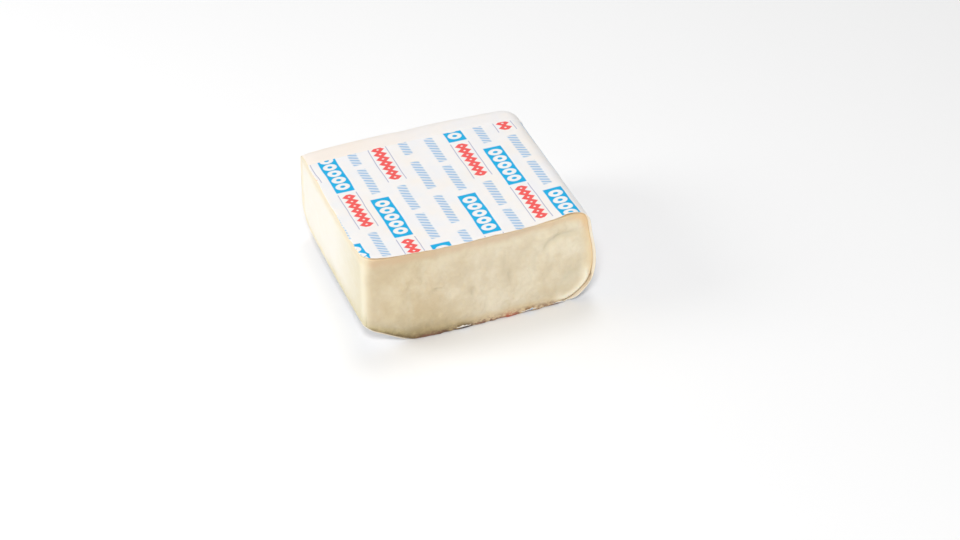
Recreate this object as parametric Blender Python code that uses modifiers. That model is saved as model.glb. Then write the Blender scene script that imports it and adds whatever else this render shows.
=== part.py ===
"""A corner piece of a square washed-rind cheese, with the paper wrap that is folded round it.

Two sides of the piece are cut faces: the front (-Y) and the left (-X). The top, the right side,
the back and the underside keep their rind, and one sheet of paper lies round those four.

Both pieces start as a box that is cut by planes into a grid. One function, pressed_form, bends
that grid into the soft form of the cheese. The wrap is the same form without the two cut faces,
moved outwards by a small gap and then given its thickness. All sizes are in millimetres until
the meshes are made.
"""

import bmesh
import bpy
import numpy as np
from mathutils import Matrix, Vector, noise

MM = 0.001

# Outer size over the paper, before the soft sides bow.
WIDTH = 111.5
DEPTH = 94.8
HEIGHT = 52.0

# The paper, and the gap that lies between it and the rind.
PAPER = 0.45
GAP = 0.5

# The six sides of the cheese itself.
LEFT = -WIDTH / 2
RIGHT = WIDTH / 2 - PAPER - GAP
FRONT = -DEPTH / 2
BACK = DEPTH / 2 - PAPER - GAP
BOTTOM = PAPER + GAP
TOP = HEIGHT - PAPER - GAP

# Rounded edges of the rind: radius, and the power of the curve (2 is a circle, more is squarer).
TOP_RADIUS = 6.9
TOP_POWER = 2.5
FOOT_RADIUS = 12.9
FOOT_POWER = 1.75
BACK_CORNER_TOP = 8.0
BACK_CORNER_FOOT = 12.9

# The upright edge where the two cut faces meet is rounder in its top fifth.
CUT_CORNER = 4.4
CUT_CORNER_FLARE = 3.0
FLARE_START = 0.8

# How far the soft cheese sags and bows. The belly of the rind is widest at BELLY_HEIGHT.
TOP_SAG = 1.75
FRONT_BOW = 1.0
LEFT_BOW = 0.5
BACK_BOW = 2.6
RIND_BELLY = 3.9
BELLY_HEIGHT = 0.4
BELLY_REACH = 0.6

# The underside rises towards the left cut face, and a little more at the front corner.
RISE_FRONT = 11.3
RISE_BACK = 10.7
RISE_LENGTH = 23.6
RISE_SOFTNESS = 0.12
RISE_BEND = 5.0
RISE_FADE = 0.6
CORNER_RISE = 1.0
CORNER_DEPTH = 12.0
CORNER_WIDTH = 19.0

# Folds of the wrap: one flap edge along the top, and the end fold on the back.
FOLD_STEP = 0.35
FOLD_RAMP = 1.2
TOP_FLAP = 12.5
END_FLAP_HEIGHT = 31.0
END_FLAP_INSET = 2.0

# The paper stands off the foot of the right side near the front, and is slightly crumpled.
LOOSE_FOOT = 1.3
LOOSE_REACH = 30.0
CRUMPLE = 0.25
CRUMPLE_SIZE = 17.0
CRUMPLE_SEED = 11.0
CRUMPLE_CLEAR = 0.1

# The two edges where the knife went through the paper.
TRIM_REACH = 14.0
WAVE_HEIGHT = 0.35
WAVE_LENGTH = 35.0
SECOND_WAVE = 1.7
CORNER_TRIM = 2.2
CORNER_TRIM_REACH = 9.0
FOOT_TUCK = 1.3
TUCK_PLACE = 38.0
TUCK_SPACING = 55.0

# Relief of the cut faces, and their slightly broken edges.
SWELL = 0.35
SWELL_SIZE = 19.0
SWELL_SEED = 3.0
RELIEF_MARGIN = 4.0
EDGE_BEVEL = 0.8
BEVEL_ABOVE = 55.0
SHARP_ABOVE = 40.0

# Marks on the front cut face: x, z, half length, half height, turn in degrees, height.
FRONT_MARKS = [
    (38.0, 39.5, 13.0, 1.8, 10.0, 0.9),
    (36.0, 35.5, 9.0, 2.4, 12.0, -0.5),
    (33.0, 27.5, 5.0, 5.0, 0.0, 0.4),
    (-20.4, 26.3, 1.8, 1.6, 0.0, -0.8),
    (-3.1, 21.2, 1.6, 3.0, 0.0, -0.5),
    (16.1, 24.6, 1.6, 3.4, 8.0, -0.6),
    (-29.2, 33.5, 2.6, 1.8, 0.0, 0.5),
    (-24.4, 27.5, 2.2, 2.4, 0.0, 0.45),
    (-34.3, 22.0, 2.4, 8.0, 0.0, -0.45),
    (48.0, 13.0, 6.0, 4.0, 35.0, -0.5),
]

# Grid steps across the flat parts, and planes in each half of a rounded edge.
CHEESE_STEP = 3.8
CHEESE_STEP_DEPTH = 6.0
WRAP_STEP = 7.0
CORNER_PLANES = 3
ON_FACE = 0.01
SQUARE_ON = 0.9

PASTE_COLOUR = (0.745, 0.638, 0.445, 1.0)
PASTE_ROUGHNESS = 0.55
PAPER_COLOUR = (0.82, 0.83, 0.83, 1.0)
PAPER_ROUGHNESS = 0.6


def clear_scene():
    """Takes every object out of the open file."""
    for item in list(bpy.data.objects):
        bpy.data.objects.remove(item, do_unlink=True)


def corner_planes(edge, inward, radius):
    """Plane places that share a rounded corner's turn evenly, from its edge to where it ends."""
    angles = np.radians(45.0 * np.arange(1, CORNER_PLANES + 1) / CORNER_PLANES)
    return list(edge + inward * radius * (1.0 - np.tan(angles[:-1]))) + [edge + inward * radius]


def even_planes(low, high, step):
    """Plane places between low and high, no further apart than step."""
    count = int(np.ceil((high - low) / step))
    return list(np.linspace(low, high, count + 1))


def grid_planes(step_across, step_deep):
    """The places of the grid's planes along X, Y and Z."""
    bend = LEFT + RISE_LENGTH
    along_x = corner_planes(LEFT, 1, CUT_CORNER)
    along_x += even_planes(LEFT + CUT_CORNER, bend - RISE_BEND, step_across)
    along_x += [bend - RISE_BEND / 2]
    along_x += even_planes(bend, RIGHT - FOOT_RADIUS, step_across)
    along_x += [RIGHT - (FOOT_RADIUS + TOP_RADIUS) / 2]
    along_x += corner_planes(RIGHT, -1, TOP_RADIUS)
    along_y = corner_planes(FRONT, 1, CUT_CORNER)
    along_y += even_planes(FRONT + CUT_CORNER, BACK - FOOT_RADIUS, step_deep)
    along_y += [BACK - (FOOT_RADIUS + TOP_RADIUS) / 2]
    along_y += corner_planes(BACK, -1, TOP_RADIUS)
    along_z = corner_planes(BOTTOM, 1, FOOT_RADIUS)
    along_z += even_planes(BOTTOM + FOOT_RADIUS, TOP - TOP_RADIUS, step_across)
    along_z += corner_planes(TOP, -1, TOP_RADIUS)
    return along_x, along_y, along_z


def gridded_box(planes):
    """The cheese's plain box with its faces cut by every plane, as a bmesh."""
    low = Vector((LEFT, FRONT, BOTTOM))
    high = Vector((RIGHT, BACK, TOP))
    box = bmesh.new()
    bmesh.ops.create_cube(box, size=1.0)
    place = Matrix.Translation((low + high) / 2) @ Matrix.Diagonal(high - low).to_4x4()
    bmesh.ops.transform(box, matrix=place, verts=box.verts)
    for axis, places in enumerate(planes):
        normal = Vector([1.0 if axis == i else 0.0 for i in range(3)])
        for place in sorted(set(np.round(places, 4))):
            if low[axis] < place < high[axis]:
                everything = box.verts[:] + box.edges[:] + box.faces[:]
                bmesh.ops.bisect_plane(box, geom=everything, plane_co=normal * place, plane_no=normal)
    return box


def smooth_step(value):
    """0 below 0, 1 above 1, and an even curve between."""
    value = np.clip(value, 0.0, 1.0)
    return value * value * (3.0 - 2.0 * value)


def corner_pull(across, up, power):
    """How far a point of a square corner moves towards its centre to lie on a rounded one."""
    reach = np.maximum(across, up)
    length = (across**power + up**power) ** (1.0 / power)
    return np.where((across > 0) & (up > 0), reach / np.maximum(length, 1e-9), 1.0)


def round_shoulder(co, radius, power, level, inward):
    """Rounds the rind's edge with the horizontal face at level; inward is 1 if that face looks down."""
    up = np.clip(1.0 - (co[:, 2] - level) * inward / radius, 0, 1)
    past_x = np.clip(co[:, 0] - (RIGHT - radius), 0, None)
    past_y = np.clip(co[:, 1] - (BACK - radius), 0, None)
    pull = corner_pull(np.maximum(past_x, past_y) / radius, up, power)
    co[:, 0] += past_x * (pull - 1)
    co[:, 1] += past_y * (pull - 1)
    co[:, 2] = np.where(pull < 1, level + inward * radius * (1 - up * pull), co[:, 2])


def round_upright(co, corner_x, corner_y, side, radius):
    """Rounds an upright edge. side is 1 for the back right corner and -1 for the front left."""
    across = np.clip((co[:, 0] - corner_x) * side / radius + 1, 0, None)
    deep = np.clip((co[:, 1] - corner_y) * side / radius + 1, 0, None)
    pull = corner_pull(across, deep, 2.0)
    co[:, 0] += across * radius * side * (pull - 1)
    co[:, 1] += deep * radius * side * (pull - 1)


def raise_underside(co):
    """Lifts the underside towards the left cut face, most at the front corner."""
    forward = np.clip(0.5 - co[:, 1] / DEPTH, 0, 1)
    along = np.clip((LEFT + RISE_LENGTH - co[:, 0]) / RISE_LENGTH, 0, 1)
    slope = np.sqrt(along**2 + RISE_SOFTNESS**2) - RISE_SOFTNESS
    slope = slope / (np.sqrt(1 + RISE_SOFTNESS**2) - RISE_SOFTNESS)
    lift = (RISE_BACK + (RISE_FRONT - RISE_BACK) * forward) * slope
    near_front = np.clip(1 - (co[:, 1] - FRONT) / CORNER_DEPTH, 0, 1)
    near_left = np.clip(1 - (co[:, 0] - LEFT) / CORNER_WIDTH, 0, 1)
    lift += CORNER_RISE * near_front * near_left
    co[:, 2] += lift * np.clip(1 - co[:, 2] / (RISE_FADE * HEIGHT), 0, 1)


def pressed_form(flat):
    """Bends points of the plain box into the soft form: rounded, raised, sagged and bowed."""
    co = flat.copy()
    round_shoulder(co, TOP_RADIUS, TOP_POWER, TOP, -1)
    round_shoulder(co, FOOT_RADIUS, FOOT_POWER, BOTTOM, 1)
    height = flat[:, 2] / HEIGHT
    back_radius = BACK_CORNER_FOOT + (BACK_CORNER_TOP - BACK_CORNER_FOOT) * height
    round_upright(co, RIGHT, BACK, 1, back_radius)
    cut_radius = CUT_CORNER + CUT_CORNER_FLARE * smooth_step((height - FLARE_START) / (1 - FLARE_START))
    round_upright(co, LEFT, FRONT, -1, cut_radius)
    raise_underside(co)
    height = co[:, 2] / HEIGHT
    across = co[:, 0] / (WIDTH / 2)
    deep = co[:, 1] / (DEPTH / 2)
    belly = RIND_BELLY * np.cos(np.pi / 2 * (height - BELLY_HEIGHT) / BELLY_REACH) ** 2
    middle = 1 - across**2
    co[:, 2] -= TOP_SAG * np.clip(2 * height - 1, 0, 1) * middle * np.clip(0.5 - deep / 2, 0, 1)
    co[:, 0] += belly * np.clip(across, 0, None) ** 2
    co[:, 0] -= LEFT_BOW * np.clip(-across, 0, 1) * (1 - deep**2)
    co[:, 1] += belly * np.clip(deep, 0, None) ** 2
    co[:, 1] += BACK_BOW * np.clip(deep, 0, 1) * middle
    co[:, 1] -= FRONT_BOW * np.clip(-deep, 0, 1) * middle
    return co


def swells(co, size, seed):
    """Soft noise of about -1 to 1 at each point, with waves of the given size."""
    return np.array([noise.noise(Vector(p / size) + Vector((seed, 0.0, 0.0))) for p in co])


def front_relief(across, height):
    """Height of the front cut face's marks: smears, pits and small bumps left by the knife."""
    relief = np.zeros(len(across))
    for x, z, half_length, half_height, turn, rise in FRONT_MARKS:
        c, s = np.cos(np.radians(turn)), np.sin(np.radians(turn))
        along = ((across - x) * c + (height - z) * s) / half_length
        over = ((height - z) * c - (across - x) * s) / half_height
        relief += rise * np.exp(-(along**2) - over**2)
    return relief


def margin(value, low, high):
    """0 at low and high, and 1 further than the relief's margin from both."""
    return np.clip(np.minimum(value - low, high - value) / RELIEF_MARGIN, 0, 1)


def cheese_points(flat):
    """The cheese's surface: the pressed form, with relief on the two cut faces."""
    co = pressed_form(flat)
    rise = SWELL * swells(co, SWELL_SIZE, SWELL_SEED)
    inside_x = margin(flat[:, 0], LEFT + CUT_CORNER, RIGHT)
    inside_y = margin(flat[:, 1], FRONT + CUT_CORNER, BACK)
    inside_z = margin(flat[:, 2], BOTTOM, TOP)
    on_front = (flat[:, 1] < FRONT + ON_FACE) * inside_z * inside_x
    on_left = (flat[:, 0] < LEFT + ON_FACE) * inside_z * inside_y
    co[:, 1] -= on_front * (rise + front_relief(co[:, 0], co[:, 2]))
    co[:, 0] -= on_left * rise
    return co


def wrap_lift(flat, co):
    """How far the paper stands off the form: flap steps, the loose foot and crumples."""
    on_top = smooth_step((flat[:, 2] - TOP + TOP_RADIUS) / TOP_RADIUS)
    lift = FOLD_STEP * on_top * smooth_step((flat[:, 1] - BACK + TOP_FLAP) / FOLD_RAMP)
    on_back = smooth_step((flat[:, 1] - BACK + TOP_RADIUS) / TOP_RADIUS)
    below_flap = smooth_step((END_FLAP_HEIGHT - flat[:, 2]) / FOLD_RAMP)
    beside_fold = smooth_step((RIGHT - END_FLAP_INSET - flat[:, 2] - flat[:, 0]) / FOLD_RAMP)
    lift += FOLD_STEP * on_back * below_flap * beside_fold
    on_foot = smooth_step((flat[:, 0] - RIGHT + FOOT_RADIUS) / FOOT_RADIUS)
    on_foot *= np.clip(1 - np.abs(flat[:, 2] - FOOT_RADIUS / 2) / FOOT_RADIUS, 0, 1)
    lift += LOOSE_FOOT * on_foot * smooth_step((FRONT + LOOSE_REACH - flat[:, 1]) / LOOSE_REACH)
    lift += CRUMPLE * np.abs(swells(co, CRUMPLE_SIZE, CRUMPLE_SEED))
    return lift * smooth_step(co[:, 2] / FOOT_RADIUS - CRUMPLE_CLEAR)


def trim_edges(flat, co):
    """Moves the paper's two cut edges: they waver, stand back at the front left corner, and the
    lower one comes out under the cheese in two places."""
    upper = smooth_step(4 * flat[:, 2] / HEIGHT - 2)
    at_front = np.clip(1 - (flat[:, 1] - FRONT) / TRIM_REACH, 0, 1)
    at_left = np.clip(1 - (flat[:, 0] - LEFT) / TRIM_REACH, 0, 1)
    turn = 2 * np.pi / WAVE_LENGTH
    wave_x = WAVE_HEIGHT * (1 + np.sin(turn * co[:, 0]) * np.sin(turn * co[:, 0] / SECOND_WAVE + 1))
    wave_y = WAVE_HEIGHT * (1 + np.sin(turn * co[:, 1]))
    corner = CORNER_TRIM * np.exp(-(((co[:, 0] - LEFT) / CORNER_TRIM_REACH) ** 2))
    tuck = FOOT_TUCK * smooth_step(np.cos(2 * np.pi * (co[:, 0] - TUCK_PLACE) / TUCK_SPACING))
    co[:, 1] += at_front * (upper * (wave_x + corner) - (1 - upper) * tuck)
    co[:, 0] += at_left * wave_y


def surface_normals(box):
    """The outward direction at each vertex, as an array."""
    box.normal_update()
    return np.array([v.normal[:] for v in box.verts])


def wrap_points(flat, box):
    """The inside of the paper: the pressed form at the gap from the rind, folded and trimmed."""
    co = pressed_form(flat)
    write_points(box, co)
    co += surface_normals(box) * (GAP + wrap_lift(flat, co))[:, None]
    trim_edges(flat, co)
    return co


def read_points(box):
    """Vertex places of a bmesh, as an array."""
    return np.array([v.co[:] for v in box.verts])


def write_points(box, co):
    """Puts an array of places back into a bmesh."""
    for vertex, place in zip(box.verts, co):
        vertex.co = place


def make_material(name, colour, roughness):
    """A Principled material of one colour."""
    material = bpy.data.materials.new(name)
    material.use_nodes = True
    shader = material.node_tree.nodes["Principled BSDF"]
    shader.inputs["Base Color"].default_value = colour
    shader.inputs["Roughness"].default_value = roughness
    shader.inputs["Metallic"].default_value = 0.0
    material.diffuse_color = colour
    return material


def make_object(name, box, material, collection):
    """Turns a bmesh in millimetres into a smooth-shaded object in metres."""
    mesh = bpy.data.meshes.new(name)
    box.to_mesh(mesh)
    box.free()
    mesh.transform(Matrix.Scale(MM, 4))
    mesh.shade_smooth()
    mesh.set_sharp_from_angle(angle=np.radians(SHARP_ABOVE))
    mesh.materials.append(material)
    item = bpy.data.objects.new(name, mesh)
    collection.objects.link(item)
    return item


def make_cheese(collection):
    """Paste and rind in one solid, with its cut edges slightly broken."""
    box = gridded_box(grid_planes(CHEESE_STEP, CHEESE_STEP_DEPTH))
    write_points(box, cheese_points(read_points(box)))
    paste = make_material("cheese", PASTE_COLOUR, PASTE_ROUGHNESS)
    item = make_object("cheese", box, paste, collection)
    bevel = item.modifiers.new("broken edges", "BEVEL")
    bevel.width = EDGE_BEVEL * MM
    bevel.segments = 2
    bevel.limit_method = "ANGLE"
    bevel.angle_limit = np.radians(BEVEL_ABOVE)
    return item


def cut_fold_line(box, inset):
    """Cuts the lower back of the box along the end fold's slanted edge."""
    box.normal_update()
    back = [f for f in box.faces if f.normal.y > SQUARE_ON and f.calc_center_median().z < END_FLAP_HEIGHT]
    edges = list({e for f in back for e in f.edges})
    corners = list({v for f in back for v in f.verts})
    place = Vector((RIGHT - inset, 0.0, 0.0))
    bmesh.ops.bisect_plane(box, geom=back + edges + corners, plane_co=place, plane_no=Vector((1.0, 0.0, 1.0)))


def make_wrap(collection):
    """The paper sheet: top, right side, back and underside, open at the two cut faces."""
    along_x, along_y, along_z = grid_planes(WRAP_STEP, WRAP_STEP)
    along_y += [BACK - TOP_FLAP, BACK - TOP_FLAP + FOLD_RAMP]
    along_z += [END_FLAP_HEIGHT, END_FLAP_HEIGHT - FOLD_RAMP]
    box = gridded_box((along_x, along_y, along_z))
    cut_fold_line(box, END_FLAP_INSET)
    cut_fold_line(box, END_FLAP_INSET + FOLD_RAMP)
    box.normal_update()
    cut_sides = [f for f in box.faces if min(f.normal.x, f.normal.y) < -SQUARE_ON]
    bmesh.ops.delete(box, geom=cut_sides, context="FACES")
    write_points(box, wrap_points(read_points(box), box))
    paper = make_material("paper", PAPER_COLOUR, PAPER_ROUGHNESS)
    item = make_object("paper_wrap", box, paper, collection)
    sheet = item.modifiers.new("paper", "SOLIDIFY")
    sheet.thickness = PAPER * MM
    sheet.offset = 1.0
    sheet.use_even_offset = True
    return item


def evaluated_corners(items):
    """Lowest and highest corner of the finished objects together."""
    bpy.context.view_layer.update()
    depsgraph = bpy.context.evaluated_depsgraph_get()
    places = []
    for item in items:
        finished = item.evaluated_get(depsgraph)
        places += [v.co[:] for v in finished.to_mesh().vertices]
        finished.to_mesh_clear()
    places = np.array(places)
    return places.min(axis=0), places.max(axis=0)


def stand_on_origin(items):
    """Puts the bottom centre of the objects' common box at the origin."""
    low, high = evaluated_corners(items)
    shift = Matrix.Translation(Vector((-(low[0] + high[0]) / 2, -(low[1] + high[1]) / 2, -low[2])))
    for item in items:
        item.data.transform(shift)


def main():
    clear_scene()
    collection = bpy.data.collections.new("taleggio_piece")
    bpy.context.scene.collection.children.link(collection)
    cheese = make_cheese(collection)
    wrap = make_wrap(collection)
    stand_on_origin([cheese, wrap])


main()
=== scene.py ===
# %% [markdown]
# # A wrapped corner piece of soft washed-rind cheese
#
# This lesson dresses a piece of cheese for a studio picture. The piece was cut from a square
# cheese: the knife left two cut faces, in front and on the left, and the other sides keep their
# rind and the printed paper that is folded round it.
#
# There are two things to make, the cheese and the paper. Both are soft forms, so each is worked
# out with numpy: a box of fine grids is bent into the soft form, and small relief then moves its
# points along the surface. Sculpting by hand could give the same, but can't be repeated exactly.

import bpy
import numpy as np
from mathutils import Matrix, Vector
from mathutils.bvhtree import BVHTree


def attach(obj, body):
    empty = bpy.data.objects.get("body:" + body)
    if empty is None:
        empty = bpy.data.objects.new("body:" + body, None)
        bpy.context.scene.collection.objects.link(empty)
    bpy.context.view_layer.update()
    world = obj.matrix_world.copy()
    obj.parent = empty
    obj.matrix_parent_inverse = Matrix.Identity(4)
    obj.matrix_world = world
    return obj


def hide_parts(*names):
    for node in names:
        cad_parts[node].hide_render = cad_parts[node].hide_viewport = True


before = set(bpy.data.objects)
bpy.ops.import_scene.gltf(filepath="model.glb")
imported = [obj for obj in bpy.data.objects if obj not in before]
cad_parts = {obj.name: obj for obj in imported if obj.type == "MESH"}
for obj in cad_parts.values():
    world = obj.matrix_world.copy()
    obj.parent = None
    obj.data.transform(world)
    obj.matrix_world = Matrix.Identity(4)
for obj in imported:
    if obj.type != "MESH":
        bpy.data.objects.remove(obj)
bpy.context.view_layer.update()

MM = 0.001


# %% [markdown]
# ## The sizes of the piece
#
# All lengths are in millimetres until a mesh is made. The piece is a quarter of a square cheese,
# 11 cm wide and 5 cm high. The solids were made from the same sizes, so the fine surfaces below
# lie on them. Only `LEFT_END_SLACK` is new: the belly of the back is slacker at its left end.

# %% Name the sizes
WIDTH, DEPTH, HEIGHT = 111.5, 94.8, 52.0

# The six sides of the cheese itself. The paper and the gap under it take the layer round it.
WRAP_LAYER = 0.95
LEFT, RIGHT = -WIDTH / 2, WIDTH / 2 - WRAP_LAYER
FRONT, BACK = -DEPTH / 2, DEPTH / 2 - WRAP_LAYER
BOTTOM, TOP = WRAP_LAYER, HEIGHT - WRAP_LAYER

# Rounded edges of the rind: radius, and the power of the curve (2 is a circle, more is squarer).
TOP_RADIUS, TOP_POWER = 6.9, 2.5
FOOT_RADIUS, FOOT_POWER = 12.9, 1.75
BACK_CORNER_TOP, BACK_CORNER_FOOT = 8.0, 12.9

# The upright edge where the two cut faces meet is rounder in its top fifth.
CUT_CORNER, CUT_CORNER_FLARE, FLARE_START = 4.4, 3.0, 0.8

# How far the soft cheese sags and bows. The belly of the rind is widest at BELLY_HEIGHT.
TOP_SAG, FRONT_BOW, LEFT_BOW, BACK_BOW = 1.75, 1.0, 0.5, 2.6
RIND_BELLY, BELLY_HEIGHT, BELLY_REACH, LEFT_END_SLACK = 3.9, 0.4, 0.6, 0.6

# The underside rises towards the left cut face, and a little more at the front corner.
RISE_FRONT, RISE_BACK, RISE_LENGTH, RISE_SOFTNESS, RISE_FADE = 11.3, 10.7, 23.6, 0.12, 0.6
CORNER_RISE, CORNER_DEPTH, CORNER_WIDTH = 1.0, 12.0, 19.0

# Moves the finished piece so that the origin is under the middle of its box.
CENTRED = np.array([-1.499, -2.247, 0.0])

cheese_size = [round(high - low, 1) for low, high in ((LEFT, RIGHT), (FRONT, BACK), (BOTTOM, TOP))]
print("cheese before it sags, in mm:", cheese_size)

# %% [markdown]
# ## A box of grids
#
# A real cut piece is one closed surface. A box whose six sides are grids gives one too, once the
# grids are welded along their shared edges. A cube that is subdivided has the same cells
# everywhere, but here the grid lines are closer together near the edges, where the form turns
# fastest.

# %% Lay grids on the sides of a box and weld them
PLACE_DIGITS, WELD_DIGITS, TINY = 5, 4, 1e-9

# A side is its axis, and which end of that axis it lies at: 0 is the low end and -1 the high one.
ALL_SIDES = [(0, 0), (0, -1), (1, 0), (1, -1), (2, 0), (2, -1)]
RIND_SIDES = [(0, -1), (1, -1), (2, 0), (2, -1)]


def graded_places(low, high, edge_low, edge_high, fine, coarse):
    """Places from low to high: fine steps within edge_low and edge_high of the ends, coarse between."""
    ends = [low, low + edge_low, high - edge_high, high]
    runs = []
    for start, end, step in zip(ends[:-1], ends[1:], (fine, coarse, fine)):
        runs.append(np.linspace(start, end, int(round((end - start) / step)) + 1))
    return np.unique(np.round(np.concatenate(runs), PLACE_DIGITS))


def grown_places(grow, grid):
    """The graded places along the three axes of the piece's box, with its rind sides grown out."""
    ends = [(LEFT, RIGHT + grow), (FRONT, BACK + grow), (BOTTOM - grow, TOP + grow)]
    return [graded_places(low, high, *steps) for (low, high), steps in zip(ends, grid)]


def grid_quads(index):
    """The four corners of each cell in a grid of point numbers, in order round the cell."""
    corners = [index[:-1, :-1], index[1:, :-1], index[1:, 1:], index[:-1, 1:]]
    return np.stack(corners, -1).reshape(-1, 4)


def box_of_grids(places, sides):
    """A side is every pair of places on its two axes, at the end of its own axis. Points that
    fall together are welded, and each quad's corners run so that it faces out of the box."""
    points, quads, count = [], [], 0
    for axis, end in sides:
        one, two = [k for k in range(3) if k != axis]
        grid_one, grid_two = np.meshgrid(places[one], places[two], indexing="ij")
        grid = np.empty(grid_one.shape + (3,))
        grid[..., axis] = places[axis][end]
        grid[..., one], grid[..., two] = grid_one, grid_two
        quad = grid_quads(count + np.arange(grid_one.size).reshape(grid_one.shape))
        faces_out = (axis != 1) == (end == -1)
        points.append(grid.reshape(-1, 3))
        quads.append(quad if faces_out else quad[:, ::-1])
        count += grid_one.size
    points, quads = np.concatenate(points), np.concatenate(quads)
    rounded = np.round(points, WELD_DIGITS)
    _, first, merged = np.unique(rounded, axis=0, return_index=True, return_inverse=True)
    return points[first], merged.reshape(-1)[quads]


def outward(co, quads):
    """The direction out of the surface at each point: its quads' normals, weighed by area."""
    a, b, c, d = (co[quads[:, k]] for k in range(4))
    across = np.cross(c - a, d - b)
    total = np.zeros_like(co)
    for k in range(4):
        np.add.at(total, quads[:, k], across)
    return total / np.maximum(np.linalg.norm(total, axis=1), TINY)[:, None]


test_points, test_quads = box_of_grids([np.array([0.0, 0.5, 1.0])] * 3, ALL_SIDES)
print("a test box with two cells a side:", len(test_points), "points and", len(test_quads), "quads")

# %% [markdown]
# ## The soft form
#
# A ripe cheese doesn't stay a box. Its rind edges are round, its sides bulge low down, its top
# sags, and the underside of this piece rises towards the left cut face. A Bevel and a few lattices
# could do some of that. Here each is a small rule that moves points, so every size keeps its name.
# Nothing on a soft thing starts or stops at once, so the rules fade in and out by smooth curves.
# `grow` makes the same form larger by what lies under a layer, so it serves for the paper too.

# %% Curves that fade
def smooth_step(value):
    """0 below 0, 1 above 1, and the curve 3v^2 - 2v^3 between."""
    value = np.clip(value, 0.0, 1.0)
    return value * value * (3.0 - 2.0 * value)


def between(value, start, end):
    """A smooth step from 0 at start to 1 at end. With start above end, it falls as value grows."""
    return smooth_step((value - start) / (end - start))


def bell(value, middle, half):
    """exp(-((value - middle) / half)^2): 1 in the middle, and about a third at half to either side."""
    return np.exp(-(((value - middle) / half) ** 2))


def fading(value, reach):
    """exp(-value / reach): 1 at 0, and about a third at reach."""
    return np.exp(-value / reach)


print("a smooth step at a quarter:", smooth_step(0.25), "a bell at its half:", round(bell(1, 0, 1), 2))

# %% Round the edges
CIRCLE = 2.0


def corner_pull(across, up, power):
    """The factor that draws points of a square corner in to the curve across^p + up^p = 1."""
    reach = np.maximum(across, up)
    length = (across**power + up**power) ** (1.0 / power)
    return np.where((across > 0) & (up > 0), reach / np.maximum(length, TINY), 1.0)


def round_shoulder(co, radius, power, level, inward, right, back):
    """Rounds the rind's edge with the flat side at level. inward is 1 if that side looks down."""
    up = np.clip(1.0 - (co[:, 2] - level) * inward / radius, 0, 1)
    past_x = np.clip(co[:, 0] - (right - radius), 0, None)
    past_y = np.clip(co[:, 1] - (back - radius), 0, None)
    pull = corner_pull(np.maximum(past_x, past_y) / radius, up, power)
    co[:, 0] += past_x * (pull - 1)
    co[:, 1] += past_y * (pull - 1)
    co[:, 2] = np.where(pull < 1, level + inward * radius * (1 - up * pull), co[:, 2])


def round_edge(co, one, two, radius):
    """Rounds the edge between two box sides to a circle. A side is its axis, direction and place."""
    (i, out_i, place_i), (j, out_j, place_j) = one, two
    past_i = np.clip((co[:, i] - place_i) * out_i / radius + 1, 0, None)
    past_j = np.clip((co[:, j] - place_j) * out_j / radius + 1, 0, None)
    pull = corner_pull(past_i, past_j, CIRCLE)
    co[:, i] += past_i * radius * out_i * (pull - 1)
    co[:, j] += past_j * radius * out_j * (pull - 1)


corners = {power: round(float(corner_pull(1.0, 1.0, power)), 3) for power in (FOOT_POWER, CIRCLE, TOP_POWER)}
print("each power brings a square corner in to:", corners)

# %% Raise, sag and swell
def raise_underside(co):
    """Lifts low points by a soft-started slope that grows towards the left cut face."""
    forward = np.clip(0.5 - co[:, 1] / DEPTH, 0, 1)
    along = np.clip((LEFT + RISE_LENGTH - co[:, 0]) / RISE_LENGTH, 0, 1)
    slope = np.sqrt(along**2 + RISE_SOFTNESS**2) - RISE_SOFTNESS
    slope = slope / (np.sqrt(1 + RISE_SOFTNESS**2) - RISE_SOFTNESS)
    lift = (RISE_BACK + (RISE_FRONT - RISE_BACK) * forward) * slope
    near_front = np.clip(1 - (co[:, 1] - FRONT) / CORNER_DEPTH, 0, 1)
    near_left = np.clip(1 - (co[:, 0] - LEFT) / CORNER_WIDTH, 0, 1)
    lift += CORNER_RISE * near_front * near_left
    co[:, 2] += lift * np.clip(1 - co[:, 2] / (RISE_FADE * HEIGHT), 0, 1)


def pressed_form(flat, grow):
    """Points of the grown box, bent in turn: shoulders and corners are rounded, the underside is
    raised, the top sags, the rind swells as a cosine squared of the height, and the sides bow."""
    co = flat.copy()
    right, back = RIGHT + grow, BACK + grow
    round_shoulder(co, TOP_RADIUS + grow, TOP_POWER, TOP + grow, -1, right, back)
    round_shoulder(co, FOOT_RADIUS + grow, FOOT_POWER, BOTTOM - grow, 1, right, back)
    height = flat[:, 2] / HEIGHT
    back_radius = BACK_CORNER_FOOT + (BACK_CORNER_TOP - BACK_CORNER_FOOT) * height + grow
    round_edge(co, (0, 1, right), (1, 1, back), back_radius)
    flare = CUT_CORNER_FLARE * between(height, FLARE_START, 1)
    round_edge(co, (0, -1, LEFT), (1, -1, FRONT), CUT_CORNER + flare)
    raise_underside(co)
    height = co[:, 2] / HEIGHT
    across = co[:, 0] / (WIDTH / 2)
    deep = co[:, 1] / (DEPTH / 2)
    belly = RIND_BELLY * np.cos(np.pi / 2 * (height - BELLY_HEIGHT) / BELLY_REACH) ** 2
    middle = 1 - across**2
    co[:, 2] -= TOP_SAG * np.clip(2 * height - 1, 0, 1) * middle * np.clip(0.5 - deep / 2, 0, 1)
    co[:, 0] += belly * np.clip(across, 0, None) ** 2
    co[:, 0] -= LEFT_BOW * np.clip(-across, 0, 1) * (1 - deep**2)
    co[:, 1] += belly * np.clip(deep, 0, None) ** 2 * (1 - LEFT_END_SLACK * smooth_step(-across))
    co[:, 1] += BACK_BOW * np.clip(deep, 0, 1) * middle
    co[:, 1] -= FRONT_BOW * np.clip(-deep, 0, 1) * middle
    return co


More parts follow.
